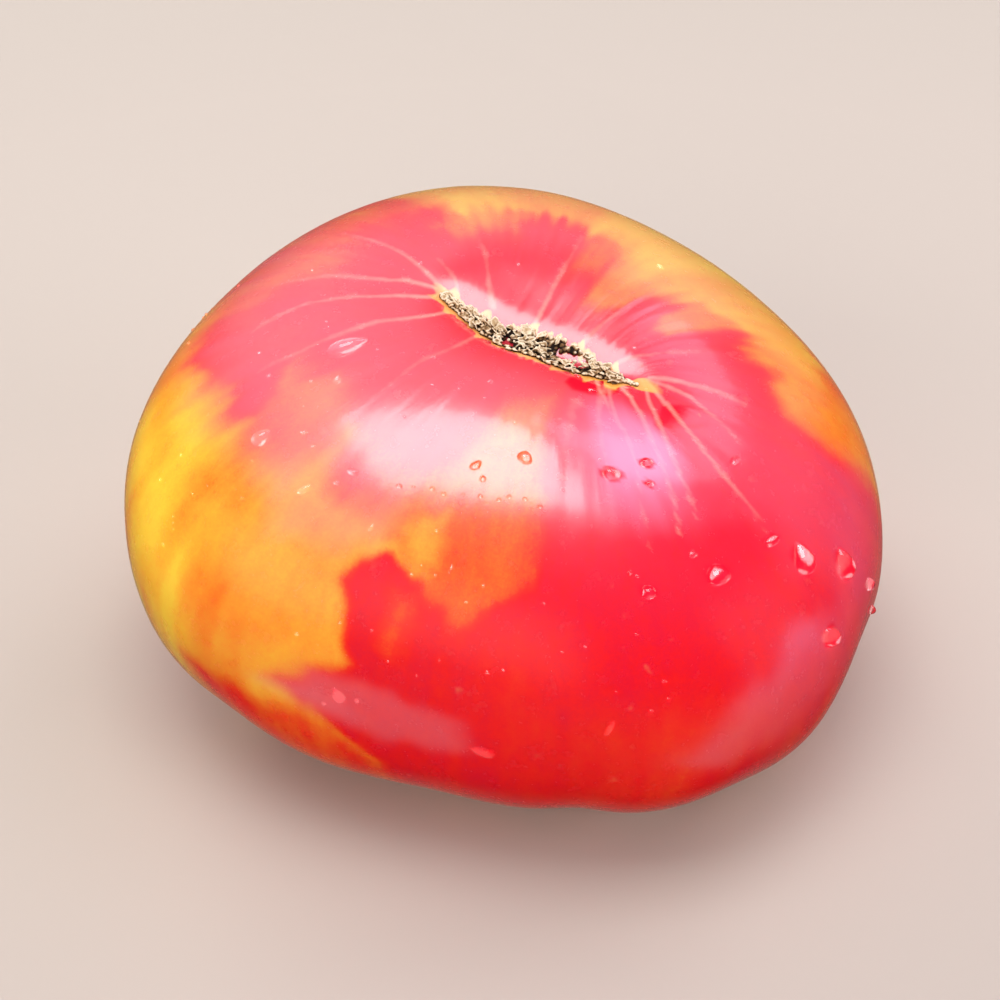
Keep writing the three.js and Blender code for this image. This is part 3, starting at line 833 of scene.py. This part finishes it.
def make_skin():
    turn, distance, faces = skin_grid()
    skin = mesh_object("skin", finished_skin(turn, distance), faces, skin_material())
    smooth_points = ring_skin(turn, distance)
    per_degree = degree_width(turn, distance)
    wet = wet_of(turn, distance)
    add_values(skin, "ripe", ripeness_of(turn, distance, smooth_points))
    add_values(skin, "pale", streaks_of(turn, distance, per_degree))
    add_values(skin, "fringe", fringe_of(turn, distance, per_degree))
    # Painted sheen over the waxy haze, taken away under water, and where it is a painted lilac reflection of
    # the sky
    add_values(skin, "bloom_and_sheen", bloom_and_sheen_of(turn, distance, smooth_points) * (1 - wet))
    add_values(skin, "painted_sky_sheen", painted_sky_sheen_of(turn, distance))
    add_values(skin, "wet", wet)
    add_values(skin, "grain", grain_of(turn, distance, GRAIN_ROUND / 2, GRAIN_STRETCH))
    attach(skin, "root")
    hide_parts("fruit")


make_skin()


# Bodies that the scars are grown from, in a flat space where x runs along, y across and z up

class Bodies:
    """Closed bodies gathered into one mesh."""

    def __init__(self):
        self.points = []
        self.faces = []

    def add(self, points, faces):
        first = len(self.points)
        self.points.extend(np.asarray(points).tolist())
        self.faces.extend([[first + corner for corner in face] for face in faces])


def lathe_faces(rings, sides):
    """Faces between rings of points, closed by a point before the first ring and one after the last."""
    faces = []
    last = 1 + rings * sides
    for side in range(sides):
        after = (side + 1) % sides
        faces.append([0, 1 + after, 1 + side])
        for ring in range(rings - 1):
            low, high = 1 + ring * sides, 1 + (ring + 1) * sides
            faces.append([low + side, low + after, high + after, high + side])
        top = 1 + (rings - 1) * sides
        faces.append([top + side, top + after, last])
    return faces


def turned_by(points, angles):
    return points @ np.array(Euler(angles).to_matrix()).T


def ball(size, rings=5, sides=8):
    tilt = (np.pi * np.arange(1, rings + 1) / (rings + 1))[:, None]
    middle = ring_points(np.sin(tilt), TAU * np.arange(sides) / sides, -np.cos(tilt))
    points = np.concatenate([[(0, 0, -1)], middle.reshape(-1, 3), [(0, 0, 1)]])
    return points * np.asarray(size), lathe_faces(rings, sides)


def flake(rng, half_length, half_width, thickness):
    """A thin curled plate with an uneven outline."""
    sides = 9
    round_ = TAU * np.arange(sides) / sides
    reach = rng.uniform(0.65, 1.15, sides)
    x, y = half_length * reach * np.cos(round_), half_width * reach * np.sin(round_)
    flat = np.stack([x, y, np.zeros(sides)], axis=1)
    half = np.array([0, 0, thickness / 2])
    points = np.concatenate([[-half], flat * 0.97 - half, flat * 0.97 + half, [half]])
    curl, twist = rng.uniform(-0.8, 0.3), rng.uniform(-0.5, 0.5)
    points[:, 2] += curl * points[:, 0] ** 2 / half_length + twist * points[:, 0] * points[:, 1] / half_length
    return points, lathe_faces(2, sides)


def curl_ring(radius, tube, sides=14, round_tube=6):
    """A thin ring, closed on itself."""
    points, faces = [], []
    for side in range(sides):
        turned = TAU * side / sides
        for step in range(round_tube):
            bend = TAU * step / round_tube
            reach = radius + tube * math.cos(bend)
            points.append((reach * math.cos(turned), reach * math.sin(turned), tube * math.sin(bend)))
            after, up = (side + 1) % sides, (step + 1) % round_tube
            faces.append([side * round_tube + step, after * round_tube + step,
                          after * round_tube + up, side * round_tube + up])
    return np.array(points), faces


def grown_together(bodies, voxel):
    """Points and faces of one skin round all the bodies."""
    rough = bpy.data.meshes.new("rough")
    rough.from_pydata(bodies.points, [], bodies.faces)
    holder = new_object("rough", rough)
    remesh = holder.modifiers.new("grow", "REMESH")
    remesh.mode = "VOXEL"
    remesh.voxel_size = voxel
    done = bpy.data.meshes.new_from_object(holder.evaluated_get(bpy.context.evaluated_depsgraph_get()))
    points = np.zeros(len(done.vertices) * 3)
    done.vertices.foreach_get("co", points)
    edges = np.zeros(len(done.edges) * 2, int)
    done.edges.foreach_get("vertices", edges)
    normals = np.zeros(len(done.vertices) * 3)
    done.vertices.foreach_get("normal", normals)
    faces = [list(polygon.vertices) for polygon in done.polygons]
    bpy.data.objects.remove(holder)
    bpy.data.meshes.remove(rough)
    bpy.data.meshes.remove(done)
    return points.reshape(-1, 3), faces, edges.reshape(-1, 2), normals.reshape(-1, 3)


def neighbour_mean(values, edges):
    total = np.zeros(values.shape)
    count = np.zeros(len(values))
    for a, b in ((0, 1), (1, 0)):
        np.add.at(total, edges[:, a], values[edges[:, b]])
        np.add.at(count, edges[:, a], 1)
    return total / count.reshape(-1, *[1] * (values.ndim - 1))


def crests_of(points, normals, edges, passes):
    """How far each point stands out of the surface round it, about -1 in pits and 1 on crests."""
    mean = points
    for _ in range(passes):
        mean = neighbour_mean(mean, edges)
    out = np.sum((points - mean) * normals, axis=1)
    return np.clip(out / (2.5 * np.std(out)), -1, 1)


# The blossom scar: a heap of small flakes, curls and beads of cork

# Windows where the skin shows through: along, across, half length and half width
CRUST_WINDOWS = [(5.6, 0.3, 2.2, 1.0), (-3.4, -0.7, 0.8, 0.4)]
CRUST_HEAP = 1.25
CRUST_VOXEL = 0.1
BED_STEP = 0.55
BED_END = 15.6
CRUST_START = -15.8
CRUST_FLAKES = 330
FLAKES_END = 13.4
CRUST_BEADS = 70
BEADS_END = 15.4
TAIL_START, TAIL_END, TAIL_STEP = 9.5, 16.2, 0.42
# Curls of cork that stand up from the heap: along, across and radius
CRUST_CURLS = [(6.2, -2.6, 0.5), (-4.6, -1.9, 0.55), (-12.5, 0.2, 0.45), (9.6, -0.9, 0.35)]
# Cork colours, from the painted shade of pits to the painted light of the tops
CRUST_COLOURS_SHADE_TO_LIGHT = [rgb(30, 16, 8), rgb(118, 86, 54), rgb(178, 148, 108), rgb(230, 214, 184)]


def in_window(along, across, margin):
    return any(
        ((along - at) / (half_length + margin)) ** 2 + ((across - side) / (half_width + margin)) ** 2 < 1
        for at, side, half_length, half_width in CRUST_WINDOWS
    )


def heap_height(along, side):
    taper = smooth(crust_half_width(along), 0, 1.6)
    return CRUST_HEAP * np.sqrt(np.maximum(0, 1 - side * side)) * taper


def add_bed(bodies, rng):
    """Low lumps that fill the crust's outline."""
    for along in np.arange(CRUST_START, BED_END, BED_STEP):
        half = crust_half_width(along)
        count = max(1, round(2 * half / BED_STEP))
        for index in range(count):
            side = 2 * (index + 0.5) / count - 1 + rng.uniform(-0.1, 0.1)
            x, y = along + rng.uniform(-0.2, 0.2), side * half
            size = (rng.uniform(0.4, 0.6), rng.uniform(0.35, 0.5), rng.uniform(0.25, 0.4))
            if not in_window(x, y, 0.45):
                points, faces = ball(size)
                bodies.add(turned_by(points, (0, 0, rng.uniform(0, math.pi))) + (x, y, 0.15), faces)


def add_flakes(bodies, rng):
    for _ in range(CRUST_FLAKES):
        along, side = rng.uniform(CRUST_START, FLAKES_END), rng.uniform(-1.1, 1.1)
        across = side * crust_half_width(along)
        half_length = rng.uniform(0.3, 0.75) + 0.8 * rng.random() ** 4
        half_width = half_length * rng.uniform(0.45, 0.8)
        points, faces = flake(rng, half_length, half_width, rng.uniform(0.11, 0.15))
        tilt = (rng.uniform(-0.8, 0.8), rng.uniform(-0.6, 0.6), rng.normal(0, 0.9))
        height = 0.3 + heap_height(along, side) * rng.uniform(0.3, 1.0)
        if not in_window(along, across, 0.3 + 0.6 * half_length):
            bodies.add(turned_by(points, tilt) + (along, across, height), faces)


def add_beads(bodies, rng):
    for _ in range(CRUST_BEADS):
        along, side = rng.uniform(CRUST_START, BEADS_END), rng.uniform(-1.05, 1.05)
        across = side * crust_half_width(along)
        radius = rng.uniform(0.14, 0.3)
        if not in_window(along, across, 0.15):
            points, faces = ball((radius, radius * rng.uniform(0.7, 1), radius))
            height = 0.2 + heap_height(along, side) * rng.uniform(0.5, 1.1)
            bodies.add(points + (along, across, height), faces)


def add_tail(bodies, rng):
    """A row of beads along the crust's thin end."""
    for along in np.arange(TAIL_START, TAIL_END, TAIL_STEP):
        points, faces = ball((0.24, 0.22, 0.22))
        across = rng.uniform(-0.12, 0.12) - 0.4 * crust_half_width(along)
        bodies.add(points + (along, across, 0.28), faces)


def add_curls(bodies, rng):
    for along, across, radius in CRUST_CURLS:
        points, faces = curl_ring(radius, 0.13)
        tilt = (rng.uniform(0.3, 0.7), rng.uniform(-0.4, 0.4), 0)
        bodies.add(turned_by(points, tilt) + (along, across, 0.75), faces)


def crust_bodies():
    rng = np.random.default_rng(31)
    bodies = Bodies()
    for add_some in (add_bed, add_flakes, add_beads, add_tail, add_curls):
        add_some(bodies, rng)
    return bodies


CORK_GRIT_SCALE = 2600
CORK_PATCH_SCALE = 380
CORK_STOPS = (0.12, 0.38, 0.66, 0.95)


def crust_material(name, colours):
    """Rough cork, from its darkest colour, a painted shade, in pits to its palest, a painted light, on the
    tops of its relief.
    """
    material, nodes = new_material(name)
    place = nodes.add("ShaderNodeTexCoord").outputs["Object"]
    grit = nodes.noise(place, CORK_GRIT_SCALE, 4, 0.65)
    patches = nodes.noise(place, CORK_PATCH_SCALE, 3)
    # Painted shade in pits and painted light on tops, roughened by the grit and patches of the cork
    painted_light_and_shade = nodes.values("painted_light_and_shade")
    level = nodes.span(painted_light_and_shade, -0.7, 0.8)
    level = nodes.math("MULTIPLY_ADD", nodes.math("SUBTRACT", grit, 0.5), 0.5, level)
    level = nodes.math("MULTIPLY_ADD", nodes.math("SUBTRACT", patches, 0.5), 0.7, level, clamp=True)
    colour = nodes.ramp(level, list(zip(CORK_STOPS, colours)))
    normal = nodes.bump(grit, 0.5, 0.0001)
    nodes.set(Base_Color=colour, Roughness=0.82, Specular_IOR_Level=0.3, Normal=normal)
    return material


def make_crust():
    points, faces, edges, normals = grown_together(crust_bodies(), CRUST_VOXEL)
    # Painted shade in the crust's pits, and painted light on what stands out and on its higher parts
    heap = heap_height(points[:, 0], points[:, 1] / np.maximum(crust_half_width(points[:, 0]), 0.2))
    height = np.clip((points[:, 2] - 0.05) / (0.3 + 0.8 * heap), 0, 1)
    painted_light_and_shade = 0.8 * crests_of(points, normals, edges, 5) + 1.5 * height - 1.1
    roughening = Lattice(32)
    points = points + normals * (0.05 * roughening(points / 0.3) + 0.03 * roughening(points / 0.17))[:, None]
    along, across = points[:, 0], points[:, 1] + scar_middle(points[:, 0])
    placed = raised(crown_skin, along, across, points[:, 2])
    crust = mesh_object("blossom_crust", placed, faces, crust_material("cork_crust", CRUST_COLOURS_SHADE_TO_LIGHT))
    add_values(crust, "painted_light_and_shade", painted_light_and_shade)
    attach(crust, "root")
    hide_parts("blossom_scar")


make_crust()


# The stem scar: a ring of cork with cracks, round the broken stub of the stalk

STEM_SCAR_RADIUS = 5.6
STEM_SCAR_HEIGHT = 1.65
STEM_SCAR_SINK = 0.25
STEM_SCAR_RINGS = 42
STEM_SCAR_SIDES = 150
# Cork colours, from the painted shade of grooves and cracks to the painted light of raised parts
STEM_CORK_COLOURS_SHADE_TO_LIGHT = [rgb(38, 26, 15), rgb(104, 84, 48), rgb(150, 128, 84), rgb(196, 176, 130)]


def stem_scar_height(turned, share):
    cracks = Lattice(41)
    cracked = smooth(cracks(ring_points(9, turned, 1.5 * share)), 0.15, 0.75)
    grooves = -0.34 * cracked * smooth(share, 0.25, 0.5)
    circles = 0.09 * np.sin(34 * share + 1.5 * np.sin(3 * turned))
    grit = Lattice(42)
    lumps = ring_points(5 * share, turned, 0)
    stub = 0.7 * bell(share, 0.25) * (1 + 0.5 * grit(lumps * 2.2))
    moat = -0.5 * bell(share - 0.45, 0.14)
    roughness = 0.16 * grit(lumps) + 0.06 * grit(lumps * 3)
    return (STEM_SCAR_HEIGHT + stub + moat + grooves + circles + roughness) * (1 - share**6)


def make_stem_scar():
    turned = TAU * np.arange(STEM_SCAR_SIDES) / STEM_SCAR_SIDES
    shares = np.arange(1, STEM_SCAR_RINGS + 1) / STEM_SCAR_RINGS
    turn_grid, share_grid = np.meshgrid(turned, shares)
    ragged = 1 + 0.06 * np.sin(5 * turn_grid) + 0.04 * np.sin(11 * turn_grid + 1)
    ragged = ragged + 0.03 * Lattice(43)(ring_points(7, turn_grid, 0))
    radius = STEM_SCAR_RADIUS * share_grid * mix(1, ragged, share_grid)
    top = stem_scar_height(turn_grid, share_grid)
    x, y = radius * np.cos(turn_grid), radius * np.sin(turn_grid)
    centre = stem_scar_height(np.zeros(1), np.zeros(1))[0]
    # The underside goes back inwards with every sixth ring, sunk in the skin
    x_under, y_under = 0.985 * x[::-6], 0.985 * y[::-6]
    flat_x = np.concatenate([[0.01], x.ravel(), x_under.ravel(), [0.01]])
    flat_y = np.concatenate([[0], y.ravel(), y_under.ravel(), [0]])
    under = np.full(x_under.size + 1, -STEM_SCAR_SINK)
    lift = np.concatenate([[centre], top.ravel() + 0.05, under])
    faces = lathe_faces(STEM_SCAR_RINGS + len(x_under), STEM_SCAR_SIDES)
    points = raised(stem_skin, flat_x, flat_y, lift)
    scar = mesh_object("stem_cork", points, faces, crust_material("stem_cork", STEM_CORK_COLOURS_SHADE_TO_LIGHT))
    if scar.data.vertices[0].normal.z > 0:
        scar.data.flip_normals()
    # Painted shade in the scar's grooves and cracks, and painted light on what stands up round each ring
    relief = np.concatenate([[0], (top - np.mean(top, axis=1, keepdims=True)).ravel()])
    painted_light_and_shade = np.zeros(len(points))
    painted_light_and_shade[: len(relief)] = np.clip(relief / 0.25, -1, 1)
    add_values(scar, "painted_light_and_shade", painted_light_and_shade)
    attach(scar, "root")
    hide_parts("stem_scar")


make_stem_scar()


# Water on the skin

DROP_RINGS = 8
DROP_SIDES = 30
DROP_SINK = 0.06
TINY_DROPS = 80
TINY_TURNS = (-175, -40)
TINY_DISTANCES = (14, 80)
TINY_SIZES = (0.16, 0.42)
# A row of fine drops below the highlight: turns, step, where it starts and how it rises
ROW_START, ROW_END, ROW_STEP = -93, -57, 3.6
ROW_DISTANCE = 39.5
ROW_RISE = 0.12
ROW_SIZES = (0.3, 0.46)
WATER_COLOUR = (0.93, 0.9, 0.9, 1)
WATER_IOR = 1.36


def drop_points(rng, turn, distance, half_across, half_down, height, tilt, narrowing):
    """A lens of water that follows the skin below and bulges down the slope."""
    per_degree = degree_width(turn, distance)
    sides = TAU * np.arange(DROP_SIDES) / DROP_SIDES
    shares = np.sin(0.5 * np.pi * np.arange(1, DROP_RINGS + 1) / DROP_RINGS)
    share, side = np.meshgrid(shares, sides, indexing="ij")
    wobble = 1 + 0.05 * np.sin(2 * side + rng.uniform(0, TAU)) + 0.03 * np.sin(3 * side + rng.uniform(0, TAU))
    down = -share * wobble * np.cos(side) * half_down
    across = share * wobble * np.sin(side) * half_across * (1 + narrowing * down / half_down)
    bulge = height * (1 - share**2) ** 0.62 * (1 + 0.3 * down / half_down)
    c, s = math.cos(math.radians(tilt)), math.sin(math.radians(tilt))
    turns = np.concatenate([[0], (c * across - s * down).ravel()]) / per_degree + turn
    distances = np.concatenate([[0], (s * across + c * down).ravel()]) + distance
    lift = np.concatenate([[height], bulge.ravel()]) - DROP_SINK
    top = finished_skin(turns, distances, lift)
    low = finished_skin(turns[:1], distances[:1], np.full(1, -DROP_SINK - 0.02))
    return np.concatenate([top, low]), lathe_faces(DROP_RINGS, DROP_SIDES)


def water_material():
    material, nodes = new_material("water")
    nodes.set(Base_Color=WATER_COLOUR, Roughness=0.0, IOR=WATER_IOR, Transmission_Weight=1.0)
    nodes.set(Coat_Weight=1.0, Coat_Roughness=0.02)
    return material


def make_drops():
    rng = np.random.default_rng(51)
    bodies = Bodies()
    for drop in DROPS:
        bodies.add(*drop_points(rng, *drop))
    for _ in range(TINY_DROPS):
        size = rng.uniform(*TINY_SIZES)
        turn, distance = rng.uniform(*TINY_TURNS), rng.uniform(*TINY_DISTANCES)
        bodies.add(*drop_points(rng, turn, distance, size, size * rng.uniform(1, 1.4), 0.75 * size,
                                rng.uniform(-30, 30), 0.15))
    for turn in np.arange(ROW_START, ROW_END, ROW_STEP):
        size = rng.uniform(*ROW_SIZES)
        distance = ROW_DISTANCE - ROW_RISE * (turn - ROW_START) + rng.uniform(-0.6, 0.6)
        place = turn + rng.uniform(-1, 1)
        bodies.add(*drop_points(rng, place, distance, size, size * 1.2, 0.95 * size, 0, 0.1))
    drops = mesh_object("water_drops", bodies.points, bodies.faces, water_material())
    drops.visible_shadow = False
    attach(drops, "root")


make_drops()


# Floor, lights and camera

FLOOR_RADIUS = 0.8
FLOOR_SIDES = 96
FLOOR_COLOUR = rgb(184, 175, 163)
# How far from the fruit the floor fades into the backdrop
FADE_START, FADE_END = 0.22, 0.7
# The room's light by height, from the floor's level up, and the backdrop that the camera sees
ROOM_LIGHT = [
    (0.0, (0.01, 0.008, 0.008, 1)),
    (0.4, (0.06, 0.045, 0.055, 1)),
    (1.0, (0.2, 0.16, 0.26, 1)),
]
BACKDROP = (0.74, 0.66, 0.6, 1)
# A glow low behind the fruit, which brightens its rim
GLOW = (0.26, 0.17, 0.14, 1)
GLOW_DIRECTION = (0, 0.79, -0.62)
GLOW_START = 0.62


def floor_material():
    material, nodes = new_material("pale_floor")
    place = nodes.add("ShaderNodeTexCoord").outputs["Object"]
    away = nodes.add("ShaderNodeVectorMath", {0: place}, operation="LENGTH").outputs["Value"]
    solid = nodes.span(away, FADE_START, FADE_END, 1.0, 0.0)
    nodes.set(Base_Color=FLOOR_COLOUR, Roughness=0.85, Alpha=solid)
    return material


def make_floor():
    rim = ring_points(FLOOR_RADIUS / MM, TAU * np.arange(FLOOR_SIDES) / FLOOR_SIDES, 0)
    floor = mesh_object("floor", rim, [list(range(FLOOR_SIDES))], floor_material())
    floor.visible_glossy = False


# Lamps: name, place, size, watts, colour, and the tilt and turn in degrees
SOFTBOXES = [
    ("overhead", (-0.045, -0.025, 0.65), (0.38, 0.31), 1.95, (0.98, 0.97, 1.0), 0, 10),
    ("side_glow", (0.26, 0.2, 0.53), (0.22, 0.24), 0.3, (0.84, 0.72, 1.0), -32, -52),
]
# Lamps that light the fruit but aren't seen in its gloss
SOFT_FILLS = [
    ("top_fill", (0, 0.1, 1.3), (1.6, 1.6), 7.0, (0.96, 0.96, 1.0), 0, 0),
    ("front_fill", (-0.6, -0.85, 0.4), (1.4, 0.7), 11.5, (1.0, 0.98, 0.95), 70, -35),
    ("right_fill", (0.85, -0.3, 0.3), (0.6, 0.5), 4.5, (1.0, 0.94, 0.98), 74, 70),
    ("back_right", (0.7, 0.6, 0.45), (0.8, 0.5), 5.0, (1.0, 0.97, 0.96), 64, 131),
    ("back_fill", (-0.6, 0.7, 0.45), (0.8, 0.5), 7.0, (1.0, 0.97, 0.96), 66, -140),
]


def make_softbox(name, place, size, power, colour, tilt, turn):
    """A rectangular lamp that faces down, then is tilted up and turned, in degrees."""
    lamp = bpy.data.lights.new(name, "AREA")
    lamp.shape = "RECTANGLE"
    lamp.size, lamp.size_y = size
    lamp.energy = power
    lamp.color = colour
    light = new_object(name, lamp)
    light.location = place
    light.rotation_euler = (math.radians(tilt), 0, math.radians(turn))
    return light


def make_world():
    """Dim light from the room, a low glow behind the fruit, and a pale backdrop for the camera alone."""
    world = bpy.data.worlds.new("pale_room")
    nodes = Nodes(world, "Background")
    direction = nodes.add("ShaderNodeTexCoord").outputs["Generated"]
    up = nodes.add("ShaderNodeSeparateXYZ", {"Vector": direction}).outputs["Z"]
    towards = nodes.add("ShaderNodeVectorMath", {0: direction, 1: GLOW_DIRECTION}, operation="DOT_PRODUCT")
    glow = nodes.span(towards.outputs["Value"], GLOW_START, 1.0)
    light = nodes.blend(glow, nodes.ramp(up, ROOM_LIGHT), GLOW)
    seen = nodes.add("ShaderNodeLightPath").outputs["Is Camera Ray"]
    nodes.set(Color=nodes.blend(seen, light, BACKDROP))
    bpy.context.scene.world = world


def make_lights():
    for lamp in SOFTBOXES:
        make_softbox(*lamp)
    for lamp in SOFT_FILLS:
        make_softbox(*lamp).visible_glossy = False


# The camera is placed so that the fruit's outline falls as it does in the photograph
CAMERA_TARGET = Vector((-0.00049, -0.00137, 0.02684))
CAMERA_DISTANCE = 0.26893
CAMERA_ELEVATION = 38.0
CAMERA_LENS = 60.0
CAMERA_SENSOR = 36.0


def make_camera():
    data = bpy.data.cameras.new("camera")
    data.lens = CAMERA_LENS
    data.sensor_width = CAMERA_SENSOR
    data.clip_start, data.clip_end = 0.01, 50
    camera = new_object("camera", data)
    tilt = math.radians(CAMERA_ELEVATION)
    camera.location = CAMERA_TARGET + CAMERA_DISTANCE * Vector((0, -math.cos(tilt), math.sin(tilt)))
    camera.rotation_euler = (math.pi / 2 - tilt, 0, 0)
    bpy.context.scene.camera = camera


make_floor()
make_world()
make_lights()
make_camera()
bpy.context.scene.view_settings.view_transform = "Standard"
